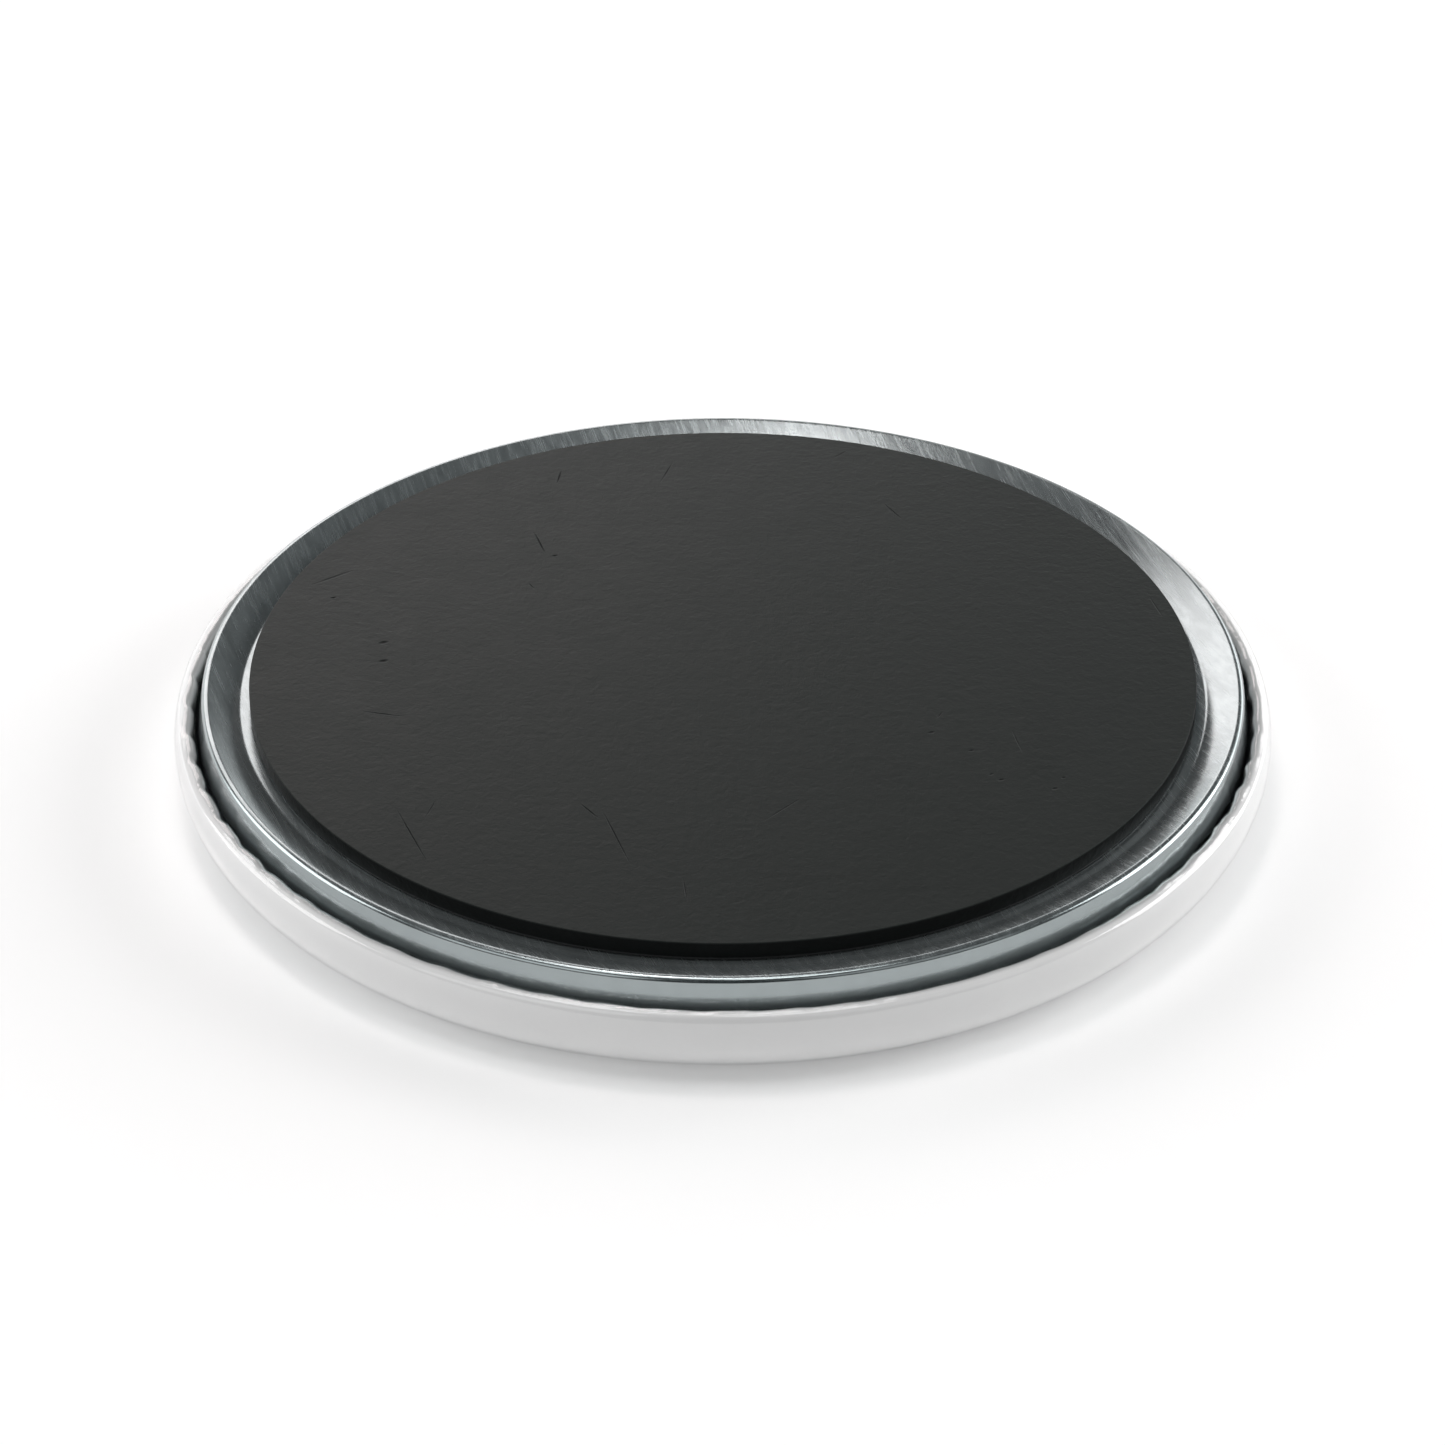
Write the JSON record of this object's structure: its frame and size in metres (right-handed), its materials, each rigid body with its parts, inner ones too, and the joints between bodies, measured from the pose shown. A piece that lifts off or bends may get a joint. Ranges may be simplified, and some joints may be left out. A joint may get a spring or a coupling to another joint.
{
  "type": "dealer button",
  "caption": "Flat round crimped button with a plain white face under clear film and a flexible magnet disc seated in the raised bead of its tinplate back.",
  "frame": {"origin": "centre of the printed face, on the surface that the button lies on", "axes": "+Z along the button's own axis, from the printed face towards the magnet; X and Y lie in the face, and the button is round about Z"},
  "size_m": [0.0582, 0.0582, 0.0058],
  "materials": {
    "clear_film": "gloss",
    "white_paper": "matte",
    "tinplate": "satin",
    "brushed_tinplate": "satin",
    "adhesive": "matte",
    "flexible_magnet": "satin"
  },
  "bodies": {
    "root": {"clear_film": "clear_film", "printed_sheet": "white_paper", "front_shell": "tinplate", "back_plate": "brushed_tinplate", "adhesive_disc": "adhesive", "magnet_disc": "flexible_magnet"}
  },
  "joints": []
}
